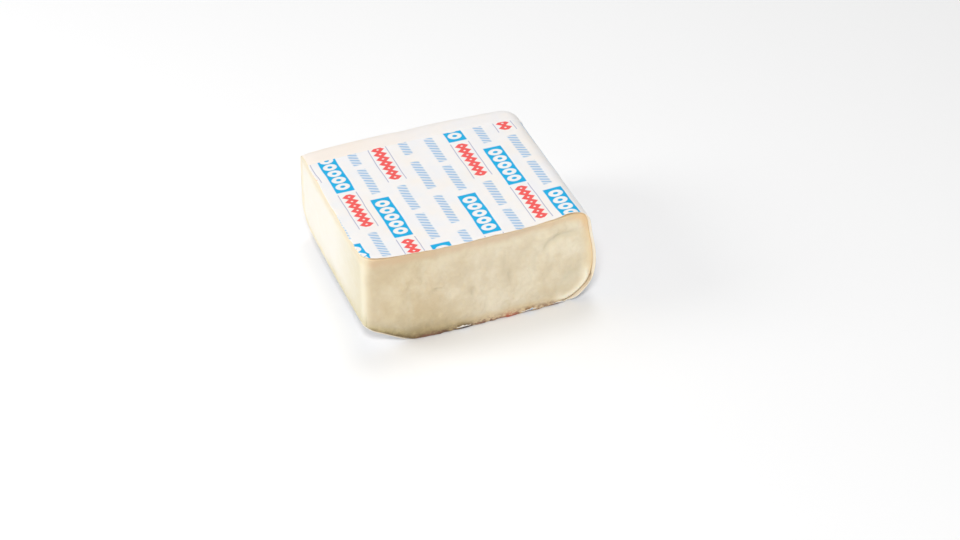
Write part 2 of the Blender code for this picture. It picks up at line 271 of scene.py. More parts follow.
right_side = pressed_form(np.array([[RIGHT, 0.0, BELLY_HEIGHT * HEIGHT]]), 0.0)
print("the middle of the right side bulges by mm:", round(float(right_side[0, 0] - RIGHT), 1))

# %% [markdown]
# ## Noise for soft things
#
# Cut paste and crumpled paper are uneven in a smooth way. Blender's own noise takes one point at a
# time, which is slow for a fine grid. Random numbers on the corners of a cube lattice, blended
# between the corners, give the same kind of unevenness for whole arrays. The numbers come from a
# seeded generator, so every run is the same.

# %% Blend random numbers on a lattice
TABLE_SIZE = 4096
LATTICE_STRIDES = np.array([73, 157, 311])


def soft_noise(places, size, seed):
    """Noise of -1 to 1: each point blends its lattice cell's eight random values by smooth steps."""
    table = np.random.default_rng(seed).uniform(-1, 1, TABLE_SIZE)
    spot = places / np.asarray(size, float)
    cell = np.floor(spot).astype(np.int64)
    part = smooth_step(spot - cell)
    total = np.zeros(len(places))
    for corner in np.ndindex(2, 2, 2):
        pick = table[(cell + corner) @ LATTICE_STRIDES % TABLE_SIZE]
        total += pick * np.prod(np.where(corner, part, 1 - part), axis=1)
    return total


def layered_noise(places, size, seed, layers):
    """A sum of soft noises, each half as large and half as high as the one before."""
    sizes = np.asarray(size, float)
    return sum(soft_noise(places, sizes / 2**k, seed + k) / 2**k for k in range(layers))


def noise_waves(places, rows):
    """A sum of layered noises. A row is (height, size along each axis, seed, layers)."""
    return sum(height * layered_noise(places, size, seed, layers) for height, size, seed, layers in rows)


def bumps(one, two, marks):
    """A sum of turned bell shapes. A mark is its two places, half length, half width, turn in
    degrees, and height."""
    total = np.zeros(len(one))
    for place_one, place_two, half_length, half_width, degrees, height in marks:
        cosine, sine = np.cos(np.radians(degrees)), np.sin(np.radians(degrees))
        along = (one - place_one) * cosine + (two - place_two) * sine
        over = (two - place_two) * cosine - (one - place_one) * sine
        total += height * bell(along, 0, half_length) * bell(over, 0, half_width)
    return total


sample = soft_noise(np.arange(3000.0).reshape(-1, 3), size=7.0, seed=1)
print("soft noise runs from", round(float(sample.min()), 2), "to", round(float(sample.max()), 2))

# %% [markdown]
# ## From arrays to an object
#
# Points and faces could be added one by one with bmesh, but these surfaces have up to 84,000
# points each. Blender takes whole arrays of places and corners with `foreach_set`, which is quick
# and needs no loop. A finished piece sits at the origin, with its place in its mesh.

# %% Put arrays into a mesh
CHECK_EVERY = 37


def make_piece(name, co, quads, values):
    """A smooth-shaded object from points in millimetres, with one number per point as attributes."""
    mesh = bpy.data.meshes.new(name)
    mesh.vertices.add(len(co))
    mesh.loops.add(quads.size)
    mesh.polygons.add(len(quads))
    mesh.vertices.foreach_set("co", ((co + CENTRED) * MM).ravel())
    mesh.loops.foreach_set("vertex_index", quads.ravel().astype(np.int32))
    mesh.polygons.foreach_set("loop_start", np.arange(0, quads.size, 4, dtype=np.int32))
    for key, value in values.items():
        layer = mesh.attributes.new(key, "FLOAT", "POINT")
        layer.data.foreach_set("value", value.astype(np.float32))
    mesh.update(calc_edges=True)
    mesh.validate()
    mesh.shade_smooth()
    piece = bpy.data.objects.new(name, mesh)
    bpy.context.scene.collection.objects.link(piece)
    return piece


def describe(piece, node, sides):
    """Prints the triangles, and the mean and largest distance of points from the piece's solid."""
    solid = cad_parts[node].data
    tree = BVHTree.FromPolygons([v.co for v in solid.vertices], [p.vertices for p in solid.polygons])
    places = np.empty(len(piece.data.vertices) * 3)
    piece.data.vertices.foreach_get("co", places)
    found = [tree.find_nearest(place)[3] for place in places.reshape(-1, 3)[::CHECK_EVERY]]
    off = [round(float(number) / MM, 2) for number in (np.mean(found), np.max(found))]
    print(piece.name, "has", len(piece.data.polygons) * 2 * sides, "triangles, mm from its solid:", off)


print("points of the solids:", {name: len(node.data.vertices) for name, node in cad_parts.items()})

# %% [markdown]
# ## The cut faces of the cheese
#
# The cut faces of soft cheese aren't flat. The knife drags the paste into low smears, small holes
# open in it, and its edges break a little, most at the lower right, where a soft lip stands up
# inside the rind. A bump texture and a Bevel could fake that, but real height also shows along the
# edges, and a Bevel rounds every edge alike. The larger marks are placed one by one, as on this
# piece, and the finer ones come from the noise.

# %% Relief of the two cut faces
MARK_STRENGTH = 1.4

# Marks on the front: x, z, half length, half width, turn in degrees, height.
FRONT_MARKS = [
    # The curved smear at the upper right, the ridge above it, and the slump and swell below.
    (34.6, 35.6, 3.0, 1.7, 62.0, -0.75),
    (39.0, 38.6, 3.4, 1.8, 32.0, -0.85),
    (45.0, 40.2, 4.8, 1.6, 6.0, -0.8),
    (37.0, 42.6, 6.0, 1.6, 12.0, 0.75),
    (29.5, 31.0, 1.8, 5.0, -12.0, -0.4),
    (33.5, 27.0, 3.0, 6.0, 0.0, 0.5),
    # Three hollows from left to right, each with a low ridge beside it.
    (-20.4, 26.6, 1.6, 1.0, -15.0, -1.0),
    (-18.6, 27.9, 2.0, 0.9, 20.0, 0.4),
    (-3.1, 20.6, 1.2, 3.0, 0.0, -0.8),
    (-6.4, 23.0, 1.2, 2.6, 0.0, 0.35),
    (15.8, 24.8, 1.2, 3.6, 8.0, -0.8),
    (11.0, 28.0, 2.0, 7.0, 5.0, 0.45),
    # Small bumps and a long upright hollow on the left.
    (-29.4, 34.0, 1.6, 1.2, -30.0, 0.7),
    (-24.6, 27.2, 1.4, 2.8, 0.0, 0.6),
    (-36.5, 34.0, 1.4, 3.0, 0.0, 0.5),
    (-34.0, 22.0, 1.6, 8.0, 0.0, -0.5),
    # The hollow inside the lower right corner.
    (47.0, 14.5, 5.5, 3.6, 40.0, -0.7),
]

# Waves: height, size along each axis, seed, layers. The last of each face is its fine grain.
FRONT_WAVES = [
    (0.40, (17.0, 40.0, 21.0), 3, 3),
    (0.50, (4.5, 40.0, 8.0), 21, 3),
    (0.10, (1.7, 40.0, 1.7), 41, 1),
]
LEFT_WAVES = [
    (0.30, (40.0, 19.0, 12.0), 5, 3),
    (0.15, (40.0, 5.0, 4.0), 25, 3),
    (0.05, (40.0, 1.7, 1.5), 45, 1),
]
KNIFE_STREAKS, STREAKS_END = [(0.07, (26.0, 40.0, 1.0), 47, 1)], (-8.0, -24.0)


def front_relief(co):
    """Height over the front face: marks, slumps, grain, and level knife streaks on the left."""
    marks = MARK_STRENGTH * bumps(co[:, 0], co[:, 2], FRONT_MARKS)
    streaks = noise_waves(co, KNIFE_STREAKS) * between(co[:, 0], *STREAKS_END)
    return marks + noise_waves(co, FRONT_WAVES) + streaks


print("marks on the front:", len(FRONT_MARKS), "deepest in mm:", min(mark[-1] for mark in FRONT_MARKS))

# %% Broken edges and the lip
EDGE_BREAK, EDGE_UNEVEN, FOOT_SHARE, RIGHT_SHARE, FOOT_CRUMBS = 0.8, 0.3, 0.6, 0.4, 0.4
WORN, WORN_LOW_EXTRA, WORN_LOW, WORN_ACROSS = 0.9, 1.4, (22.0, 10.0), (36.0, 48.0)
LIP_INSIDE, LIP_HALF, LIP_ACROSS, LIP_LOW = 3.2, 1.6, (36.0, 43.0), (21.0, 14.0)


def broken_edges(flat, right, back, bottom, top):
    """The box with its cut edges rounded by some 0.8 mm, and by up to 2.3 mm more at the lower right."""
    soft = flat.copy()
    broken = EDGE_BREAK + EDGE_UNEVEN * soft_noise(flat, size=4.0, seed=61)
    worn = WORN + WORN_LOW_EXTRA * between(flat[:, 2], *WORN_LOW)
    worn *= between(flat[:, 0], *WORN_ACROSS)
    crumbs = FOOT_CRUMBS * np.clip(soft_noise(flat, size=3.0, seed=63), 0, 1)
    front, left = (1, -1, FRONT), (0, -1, LEFT)
    round_edge(soft, front, (2, 1, top), broken)
    round_edge(soft, front, (2, -1, bottom), FOOT_SHARE * broken + worn + crumbs)
    round_edge(soft, front, (0, 1, right), RIGHT_SHARE * broken + worn)
    for side in ((2, 1, top), (2, -1, bottom), (1, 1, back)):
        round_edge(soft, left, side, broken)
    return soft


def lower_lip(rind, co):
    """1 along a soft ridge inside the rind, round the lower right corner of the front."""
    corner = between(co[:, 0], *LIP_ACROSS) * between(co[:, 2], *LIP_LOW)
    return bell(rind, LIP_INSIDE, LIP_HALF) * corner


largest = FOOT_SHARE * (EDGE_BREAK + EDGE_UNEVEN) + WORN + WORN_LOW_EXTRA + FOOT_CRUMBS
print("largest radius of a worn edge in mm:", round(largest, 1))

# %% [markdown]
# ## Making the cheese
#
# Paste and rind are one closed surface, as on the real piece. Along the foot the paste is painted
# darker, partly in the rind's own colour and partly as painted shade, and its lowest line is rind
# brown with a painted contact shadow. Two meshes or a painted texture could show all that, but
# rind and painted shade are only changes of colour. So one mesh carries them as numbers of its
# points, such as the distance to the rind, and the material does the rest.

# %% Painted shade along the foot
TOUCH_LEFT, TOUCH_RIGHT, TOUCH_DEPTH = (-36.0, -28.0), (46.0, 40.0), 1.5
# Painted shade along the foot, partly the rind's own darker colour.
DEEP_X, DEEP_HALF, FOOT_SHADE, FOOT_SHADE_DEEPER, FOOT_SHADE_HIGH, FOOT_SHADE_HIGHER = -34.0, 16.0, 0.30, 0.35, 5.5, 2.0
SHADE_FADES, SHADE_FADED, LINE, LINE_HIGH, LINE_ENDS = (-12.0, 10.0), 0.55, 0.45, 1.9, (0.0, -20.0)
SIDE_SHADE, SIDE_HIGH, SIDE_SHADE_FADES, SIDE_SHADE_FADED = 0.85, 8.5, (-8.0, 17.0), 0.75


def touching_foot(flat):
    """1 along the stretch of the front's lower edge that lies flat, fading to the back."""
    ends = between(flat[:, 0], *TOUCH_LEFT) * between(flat[:, 0], *TOUCH_RIGHT)
    return ends * fading(flat[:, 1] - FRONT, TOUCH_DEPTH)


def foot_shade_and_rind(x, y, foot, on_front, on_left):
    """Share of painted shade along the foot, partly the rind's own colour. On the front it is deepest
    and highest left of the middle, with a line at the very foot. On the left face it is an even band
    that fades towards the back."""
    deep = bell(x, DEEP_X, DEEP_HALF)
    broad = (FOOT_SHADE + FOOT_SHADE_DEEPER * deep) * bell(foot, 0, FOOT_SHADE_HIGH + FOOT_SHADE_HIGHER * deep)
    broad *= 1 - SHADE_FADED * between(x, *SHADE_FADES)
    line = LINE * bell(foot, 0, LINE_HIGH) * between(x, *LINE_ENDS)
    side = SIDE_SHADE * bell(foot, 0, SIDE_HIGH) * (1 - SIDE_SHADE_FADED * between(y, *SIDE_SHADE_FADES))
    return on_front * (broad + line) + on_left * side


print("damp at the foot, where it is deepest:", foot_shade_and_rind(DEEP_X, 0.0, 0.0, 1, 0).round(2))

# %% Make the cheese
# For each axis: the stretch of fine steps at its two ends, the fine step and the coarse step.
CHEESE_GRID = [(4.0, 4.0, 0.4, 0.7), (3.2, 6.0, 0.4, 1.0), (4.0, 4.0, 0.4, 0.64)]
CHEESE_GROW, ON_FACE = 0.3, 1e-4
RELIEF_MARGIN, CORNER_MARGIN, LIP_HEIGHT = 3.0, 7.0, 1.1
FOOT_PRESS, FOOT_PRESS_HIGH = 0.5, 1.5
# The lowest line of the foot is rind brown with a painted contact shadow under it.
STAIN_AND_SHADOW_HIGH, HAZE, HAZE_HIGH = 1.8, 0.14, 3.6
RIND_FAINTEST, RIND_FADES = 0.2, (0.5, 5.5)


def make_cheese():
    """The soft form with its cut edges broken, and the relief moved out along the surface."""
    top, bottom = TOP + CHEESE_GROW, BOTTOM - CHEESE_GROW
    right, back = RIGHT + CHEESE_GROW, BACK + CHEESE_GROW
    flat, quads = box_of_grids(grown_places(CHEESE_GROW, CHEESE_GRID), ALL_SIDES)
    x, y, z = flat.T
    foot = z - bottom
    rind = np.minimum.reduce([top - z, foot, right - x, back - y])
    on_front = (y < FRONT + ON_FACE).astype(float)
    on_left = (x < LEFT + ON_FACE).astype(float)

    co = pressed_form(broken_edges(flat, right, back, bottom, top), CHEESE_GROW)
    # How deep the front's hollows are, for painted shade in them.
    hollow = on_front * np.clip(-bumps(co[:, 0], co[:, 2], FRONT_MARKS), 0, 1)
    lip = on_front * lower_lip(rind, co)
    height = on_front * between(x, LEFT, LEFT + CORNER_MARGIN) * front_relief(co)
    height += on_left * between(y, FRONT, FRONT + CORNER_MARGIN) * noise_waves(co, LEFT_WAVES)
    height *= between(rind, 0, RELIEF_MARGIN)
    co += outward(co, quads) * (height + LIP_HEIGHT * lip)[:, None]

    touching = touching_foot(flat)
    pressed = FOOT_PRESS * touching * bell(foot, 0, FOOT_PRESS_HIGH)
    co[:, 2] -= pressed
    co[:, 1] -= pressed * (1 + soft_noise(flat, size=2.5, seed=65))
    values = {
        "rind_mm": rind,
        "rind_shows": RIND_FAINTEST + (1 - RIND_FAINTEST) * between(x - LEFT, *RIND_FADES),
        "lip": lip,
        # stained: the rind's brown line at the foot, with a painted contact shadow.
        "stained": touching * (bell(foot, 0, STAIN_AND_SHADOW_HIGH) + HAZE * bell(foot, 0, HAZE_HIGH)),
        "hollow": hollow,
        # Painted shade along the foot, partly the rind's own colour.
        "shade_and_rind": foot_shade_and_rind(x, y, foot, on_front, on_left * (1 - on_front)),
    }
    return make_piece("cheese_body", co, quads, values)


cheese = make_cheese()
describe(cheese, "cheese", 1)

# %% [markdown]
# ## The paper
#
# One sheet of waxed paper lies over the top, the right side and the underside, and its ends are
# folded over the back. The knife cut it with the cheese, so its two free edges follow the cut
# faces, a little ragged. A cloth simulation could lay a sheet over the piece, but it wouldn't fold
# it neatly. So the sheet is the same soft form again, a little larger, and a lift moves it out
# where it is folded double, crumpled or loose.

# %% Folds and crumples
TOP_FLAP, FOLD_STEP, FOLD_RAMP = 12.5, 0.26, 0.6
LOOSE_STRIP, STRIP_REACH = 0.6, 3.0
EAR_SLANT_SUM, EAR_FOOT, EAR_LAYERS, DIAGONAL = 60.0, 12.0, 2.2, 0.7
FLAP_WAVE, FLAP_WAVE_LENGTH = 0.5, 17.0
DIP, DIP_X, DIP_HALF, DIP_FROM_BACK = 0.45, -3.0, 9.0, (9.0, 3.0)
CRUMPLE_FOLDS, CRUMPLE_SPREAD, CRUMPLE_PATCH = 6, (0.7, 1.5), 0.35

# Crumples: height, how much higher they are on the hidden sides, size, seed.
CRUMPLES = [(0.16, 0.55, 19.0, 11), (0.06, 0.13, 7.0, 23)]


def crumple(co, size, seed):
    """Flat facets between straight folds: triangle waves in seeded directions, each in patches."""
    source = np.random.default_rng(seed)
    total = np.zeros(len(co))
    for k in range(CRUMPLE_FOLDS):
        direction = source.normal(size=3)
        direction /= np.linalg.norm(direction) * size * source.uniform(*CRUMPLE_SPREAD)
        wave = co @ direction + source.uniform()
        patch = np.clip(CRUMPLE_PATCH + soft_noise(co, 2 * size, seed + k), 0, 1)
        total += patch * np.abs(wave - np.floor(wave) - 0.5)
    return total


def layer_edge(inward):
    """A sheet's edge at inward = 0: a short step up, and a looser strip just inside it."""
    strip = LOOSE_STRIP * fading(np.clip(inward, 0, None), STRIP_REACH)
    return between(inward, 0, FOLD_RAMP) * (1 + strip)


def folded_layers(x, y, co, on_top, on_back):
    """The sheet lies double along the back of the top, where one dip shows. On the back its right
    end is folded in as an ear with a slanted edge, before the flap goes over it."""
    flap_edge = BACK - TOP_FLAP + FLAP_WAVE * np.sin(x / FLAP_WAVE_LENGTH)
    dip = DIP * bell(x, DIP_X, DIP_HALF) * between(BACK - y, *DIP_FROM_BACK) * on_top
    from_slant = (co[:, 2] + co[:, 0] - EAR_SLANT_SUM) * DIAGONAL
    ear = EAR_LAYERS * on_back * layer_edge(np.minimum(from_slant, co[:, 2] - EAR_FOOT))
    return FOLD_STEP * (layer_edge(y - flap_edge) + ear) - dip


print("the fold along the top lies", TOP_FLAP, "mm from the back, and steps up by", FOLD_STEP, "mm")

# %% How far the paper stands off
SIDE_BEGINS, BACK_BEGINS = (4.0, 12.0), (1.0, 15.0)
HIDDEN_ACROSS, HIDDEN_DEPTH = (48.0, 57.0), (4.0, 16.0)
LOOSE_FOOT, LOOSE_LENGTH = 0.5, 30.0
RAGGED, RAGGED_REACH, RAGGED_MORE = 0.14, 5.0, 0.3
CURL, CURL_X, CURL_HALF, CURL_REACH = 0.9, 45.0, 5.0, 3.0
HUG, HUG_INSIDE, HUG_HALF = 0.85, 1.4, 1.3
HUG_ACROSS, HUG_TOP, HUG_FOOT = (46.0, 52.0), (1.0, -4.0), (9.0, 16.0)
LEFT_SHARE, LEFT_REACH = 0.1, 5.0
UNDERSIDE_FADE = (0.1 * FOOT_RADIUS, 1.1 * FOOT_RADIUS)


def paper_lift(flat, co):
    """How far the sheet stands off the form. Folded layers, crumples and a loose foot lift it, and
    its front edge curls up in one place. Beside the front face it hugs the rind. Towards the left
    edge and the underside, where it is pressed flat, the lift fades out."""
    x, y, z = flat.T
    from_front = y - FRONT
    on_top = between(z, TOP - TOP_RADIUS, TOP)
    below_top = between(TOP - co[:, 2], *SIDE_BEGINS)
    on_back = between(y, BACK - TOP_RADIUS, BACK) * below_top * between(x - LEFT, *BACK_BEGINS)
    lift = folded_layers(x, y, co, on_top, on_back)

    on_foot = np.clip(1 - np.abs(z - FOOT_RADIUS / 2) / FOOT_RADIUS, 0, 1)
    on_foot *= between(x, RIGHT - FOOT_RADIUS, RIGHT)
    lift += LOOSE_FOOT * on_foot * between(from_front, LOOSE_LENGTH, 0)

    on_right = between(co[:, 0], *HIDDEN_ACROSS) * below_top
    hidden = np.maximum(on_right, on_back) * between(from_front, *HIDDEN_DEPTH)
    lift += sum((low + more * hidden) * crumple(co, size, seed) for low, more, size, seed in CRUMPLES)
    ragged = np.clip(soft_noise(co, size=8.0, seed=17) + RAGGED_MORE, 0, 1)
    lift += RAGGED * ragged * fading(from_front, RAGGED_REACH)
    lift += CURL * bell(co[:, 0], CURL_X, CURL_HALF) * on_top * fading(from_front, CURL_REACH)

    hugs = between(co[:, 2] - TOP, *HUG_TOP) * between(co[:, 2], *HUG_FOOT)
    hugs *= between(co[:, 0], *HUG_ACROSS) * bell(from_front, HUG_INSIDE, HUG_HALF)
    lift -= (HUG + lift) * hugs
    by_left = LEFT_SHARE + (1 - LEFT_SHARE) * between(x, LEFT, LEFT + LEFT_REACH)
    return lift * by_left * between(co[:, 2], *UNDERSIDE_FADE)


top_point = np.array([[0.0, 0.0, TOP]])
print("lift in the middle of the top, in mm:", paper_lift(top_point, top_point).round(2))

# %% Where the knife went through the paper
# Tucks under the front: x, half length, and size as a share of TUCK_OUT and TUCK_UP.
TUCKS = [(-8.0, 3.6, 1.0), (26.0, 4.5, 0.9), (41.0, 3.0, 0.9)]
TUCK_OUT, TUCK_UP, TUCK_UNEVEN, TUCK_TURNS = 1.6, 2.6, 0.35, (2.3, 1.1)
DRAWN_IN, DRAWN_IN_FROM, UNTUCKED = 2.4, (-38.0, -32.0), (0.5, 0.0)
TRIM_REACH, RIM_REACH, FRONT_TRIM, LEFT_TRIM = 14.0, 1.0, 0.2, 0.4
FRONT_TRIM_WAVES = [(0.35, (9.0, 60.0, 9.0), 51, 3), (0.12, (1.7, 60.0, 9.0), 57, 1)]
LEFT_TRIM_WAVES = [(0.4, (60.0, 9.0, 9.0), 53, 3)]
CORNER_TRIM, CORNER_REACH = 1.2, 9.0
BESIDE_ACROSS, BESIDE_TOP, BESIDE_OUT = (40.0, 51.0), (1.5, -3.5), 1.7
LEAN_OUT, LEAN_IN, LEAN_REACH, LEAN_LOW, LEAN_HALF = 0.3, 1.4, 1.8, 9.5, 6.5


def tucks(x):
    """Where paper peeps out under the front face: three crumpled tucks."""
    places = sum(share * bell(x, place, half) for place, half, share in TUCKS)
    return places * (1 + TUCK_UNEVEN * np.sin(x * TUCK_TURNS[0]) * np.sin(x * TUCK_TURNS[1] + 1))


def trim_paper(flat, co):
    """Moves the two cut edges along the sheet. They waver, and stand back at the left corner. Below
    the front the edge is drawn in, but for its tucks. Beside the front it stands out in front of
    the rind, and leans out high up and in low down."""
    from_front, from_left = flat[:, 1] - FRONT, flat[:, 0] - LEFT
    upper = between(flat[:, 2], HEIGHT / 2, HEIGHT * 3 / 4)
    underside = flat[:, 2] < BOTTOM
    at_front = np.clip(1 - from_front / TRIM_REACH, 0, 1)
    at_left = np.clip(1 - from_left / TRIM_REACH, 0, 1)
    tuck = tucks(co[:, 0])
    beside = between(co[:, 0], *BESIDE_ACROSS) * between(co[:, 2] - TOP, *BESIDE_TOP)

    wave_front = FRONT_TRIM + noise_waves(co, FRONT_TRIM_WAVES)
    wave_left = LEFT_TRIM + noise_waves(co, LEFT_TRIM_WAVES)
    above = upper * (wave_front * (1 - beside) + CORNER_TRIM * bell(co[:, 0], LEFT, CORNER_REACH))
    drawn_in = DRAWN_IN * between(co[:, 0], *DRAWN_IN_FROM) * between(tuck, *UNTUCKED) * underside
    below = (drawn_in - TUCK_OUT * tuck) * (1 - upper) * (1 - beside)
    co[:, 1] += at_front * (above + below - BESIDE_OUT * beside)

    lean = LEAN_OUT - LEAN_IN * bell(co[:, 2], LEAN_LOW, LEAN_HALF)
    co[:, 0] += lean * beside * fading(from_front, LEAN_REACH)
    co[:, 2] += TUCK_UP * tuck * underside * fading(from_front, RIM_REACH) * (1 - beside)
    co[:, 0] += at_left * wave_left


print("tucks under the front at x =", [tuck[0] for tuck in TUCKS], "mm")

# %% [markdown]
# ## The flap over the back
#
# The underside's end of the sheet is folded up over the back, with a free top edge and a slanted
# end. A step in the sheet would show its outline, but no edge that stands off. A second small
# surface has real edges, and it starts inside the sheet at the foot, so nothing gapes there.

# %% The flap that is folded up over the back
PAPER_GROW = 0.42
FLAP_FOOT, FLAP_TOP, FLAP_INSET, FLAP_ROWS, FLAP_COLUMNS = 5.0, 31.0, 2.0, 30, 88
FLAP_OFF, FLAP_OFF_FROM, FLAP_SUNK = 0.42, (7.0, 12.0), 0.12
EDGE_OFF, EDGE_REACH, EDGE_STEADY, END_SCALE = 0.35, 2.5, 0.6, 60.0
FACING_BACK = [0, 3, 2, 1]


def back_flap():
    """The flap as flat points, bent points and quads. Its columns are spread evenly from the left
    edge to the end that is cut at 45 degrees, and it stands off most along its free edges."""
    rows = np.linspace(FLAP_FOOT, FLAP_TOP, FLAP_ROWS)
    height, share = np.meshgrid(rows, np.linspace(0, 1, FLAP_COLUMNS))
    across = LEFT + (RIGHT - FLAP_INSET - height - LEFT) * share
    flat = np.stack([across, np.full_like(across, BACK + PAPER_GROW), height], -1).reshape(-1, 3)
    quads = grid_quads(np.arange(height.size).reshape(height.shape))[:, FACING_BACK]
    co = pressed_form(flat, PAPER_GROW)
    inward = np.minimum(FLAP_TOP - flat[:, 2], (1 - share.ravel()) * END_SCALE)
    uneven = EDGE_STEADY + (1 - EDGE_STEADY) * soft_noise(co, size=11.0, seed=71)
    off = FLAP_OFF * between(flat[:, 2], *FLAP_OFF_FROM) - FLAP_SUNK
    off += EDGE_OFF * fading(inward, EDGE_REACH) * uneven
    co += outward(co, quads) * (paper_lift(flat, co) + off)[:, None]
    return flat, co, quads


print("the flap has", FLAP_ROWS * FLAP_COLUMNS, "points")

# %% [markdown]
# ## Making the paper
#
# The print has to follow the sheet over its folds, so each point also gets its place on the flat
# sheet, as a UV map in which 1 is 100 mm. Unwrapping could find such a map, but here it is known
# from the box. Solidify gives the sheet its thickness, and its inner side and cut edges a material
# of their own.

# %% Make the paper
PAPER_GRID = [(6.0, 8.0, 0.6, 1.0), (9.0, 8.0, 0.5, 1.05), (8.0, 6.0, 0.7, 0.7)]
FOLD_LINES, FOLD_LINE_COUNT = (-1.2, 1.8), 7
PAPER_THICK, SETTLE_REACH, UV_PER_MM, BARE_SIDE = 0.25, 5.0, 0.01, 1


def sheet_map(flat, quads, right, bottom, top):
    """The place on the flat sheet of each quad's corners: x over the top, then the way down the
    right side, then the way back along the underside. The other number is y."""
    corners = flat[quads]
    middle = corners.mean(1)
    on_right = (middle[:, 0] > right - ON_FACE)[:, None]
    under = (middle[:, 2] < bottom + ON_FACE)[:, None]
    along = corners[:, :, 0] + np.where(on_right, top - corners[:, :, 2], 0)
    along = np.where(under, right + (top - bottom) + (right - corners[:, :, 0]), along)
    return np.stack([along, corners[:, :, 1]], -1).reshape(-1, 2)


def make_paper():
    """The sheet over the four rind sides and its flap, lifted, trimmed and set down on the floor."""
    top, bottom, right = TOP + PAPER_GROW, BOTTOM - PAPER_GROW, RIGHT + PAPER_GROW
    places = grown_places(PAPER_GROW, PAPER_GRID)
    low, high = (BACK - TOP_FLAP + end for end in FOLD_LINES)
    fold_lines = np.round(np.linspace(low, high, FOLD_LINE_COUNT), PLACE_DIGITS)
    places[1] = np.union1d(places[1], fold_lines)
    flat, quads = box_of_grids(places, RIND_SIDES)
    co = pressed_form(flat, PAPER_GROW)
    co += outward(co, quads) * paper_lift(flat, co)[:, None]
    flap_flat, flap_co, flap_quads = back_flap()
    quads = np.concatenate([quads, flap_quads + len(co)])
    flat, co = np.concatenate([flat, flap_flat]), np.concatenate([co, flap_co])
    trim_paper(flat, co)
    co[:, 2] -= (bottom - PAPER_THICK) * np.clip(1 - (co[:, 2] - bottom) / SETTLE_REACH, 0, 1)
    piece = make_piece("paper_sheet", co, quads, {})

    layer = piece.data.uv_layers.new(name="sheet")
    uv = sheet_map(flat, quads, right, bottom, top) * UV_PER_MM
    layer.data.foreach_set("uv", uv.astype(np.float32).ravel())
    thick = piece.modifiers.new("thickness", "SOLIDIFY")
    thick.thickness = PAPER_THICK * MM
    thick.offset = 1.0
    thick.material_offset = BARE_SIDE
    thick.material_offset_rim = BARE_SIDE
    return piece


paper = make_paper()
describe(paper, "paper_wrap", 2)

# %% [markdown]
# ## A small language for patterns
#
# Colours are made in the shader from numbers, and a long chain of nodes is hard to read when each
# node is made by hand. This helper adds a node for each step, so a pattern reads like a sum, and
# `layers` reads like coats of paint, each laid where its share is 1.

# %% Helpers for shader nodes
class Pattern:
    """Builds a material from nodes. A step of a pattern adds nodes and gives back an output."""

    def __init__(self, name):
        self.material = bpy.data.materials.new(name)
        self.material.use_nodes = True
        self.tree = self.material.node_tree

    def put(self, socket, value):
        """A number is set on the socket, and a node's output is linked to it."""
        if isinstance(value, bpy.types.NodeSocket):
            self.tree.links.new(value, socket)
        else:
            socket.default_value = value

    def add(self, kind, values, **settings):
        """A new node's outputs. values fills its sockets, by name or number, and settings the rest."""
        node = self.tree.nodes.new("ShaderNode" + kind)
        for key, setting in settings.items():
            setattr(node, key, setting)
        for key, value in values.items():
            self.put(node.inputs[key], value)
        return node.outputs

    def math(self, operation, *values):
        """One Math node, such as the sums and products below."""
        return self.add("Math", dict(enumerate(values)), operation=operation)[0]

    def times(self, one, two):
        return self.math("MULTIPLY", one, two)

    def plus(self, one, two):
        return self.math("ADD", one, two)

    def minus(self, one, two):
        return self.math("SUBTRACT", one, two)

    def mix(self, share, first, second):
        """The first colour where share is 0 and the second where it is 1."""
        return self.add("Mix", {0: share, 6: first, 7: second}, data_type="RGBA")[2]

    def layers(self, colour, coats):
        """Lays each (share, coat) over the colour in turn."""
        for share, coat in coats:
            colour = self.mix(share, colour, coat)
        return colour

    def ramp(self, value, low, high, to_low=0.0, to_high=1.0, smooth=True):
        """to_low at low, to_high at high, and held outside them."""
        numbers = dict(enumerate((value, low, high, to_low, to_high)))
        return self.add("MapRange", numbers, interpolation_type="SMOOTHSTEP" if smooth else "LINEAR")[0]

    def peak(self, value, middle, half):
        """1 at middle, fading to 0 at half to either side."""
        return self.ramp(self.math("ABSOLUTE", self.minus(value, middle)), half, 0.0)

    def below(self, value, limit, soft):
        """1 below limit and 0 above it, with a soft edge."""
        return self.ramp(value, limit + soft, limit - soft)

    def within(self, value, low, high, soft):
        """1 where value lies between low and high, with soft edges."""
        from_middle = self.math("ABSOLUTE", self.minus(value, (low + high) / 2))
        return self.below(from_middle, (high - low) / 2, soft)

    def noise(self, where, scale, detail=2.0, roughness=0.5):
        """Scale counts the waves in a metre."""
        values = {"Vector": where, "Scale": scale, "Detail": detail, "Roughness": roughness}
        return self.add("TexNoise", values)[0]

    def object_places(self, stretch=(1.0, 1.0, 1.0)):
        """Object coordinates in metres, stretched along each axis."""
        places = self.add("TexCoord", {})["Object"]
        return self.add("Mapping", {"Vector": places, "Scale": stretch})[0]

    def parts(self, vector):
        """The three numbers of a vector."""
        return list(self.add("SeparateXYZ", {0: vector}))

    def attribute(self, name):
        """A number that was stored with the points."""
        return self.add("Attribute", {}, attribute_name=name)["Fac"]

    def bump(self, height, strength, distance):
        """Normals that look as if the surface had this height."""
        return self.add("Bump", {"Height": height, "Strength": strength, "Distance": distance})[0]

    def finish(self, sockets):
        """Fills the shader's sockets by name, and gives back the material."""
        shader = self.tree.nodes["Principled BSDF"]
        for name, value in sockets.items():
            self.put(shader.inputs[name], value)
        print(self.material.name, "has", len(self.tree.nodes), "nodes")
        return self.material


def paint(red, green, blue):
    """A screen colour of 0 to 255 as linear numbers for a shader, by the sRGB curve."""
    screen = np.array([red, green, blue]) / 255.0
    linear = np.where(screen > 0.04045, ((screen + 0.055) / 1.055) ** 2.4, screen / 12.92)
    return tuple(float(v) for v in linear) + (1.0,)


print("a screen grey of 128 is", round(paint(128, 128, 128)[0], 3), "for the shader")

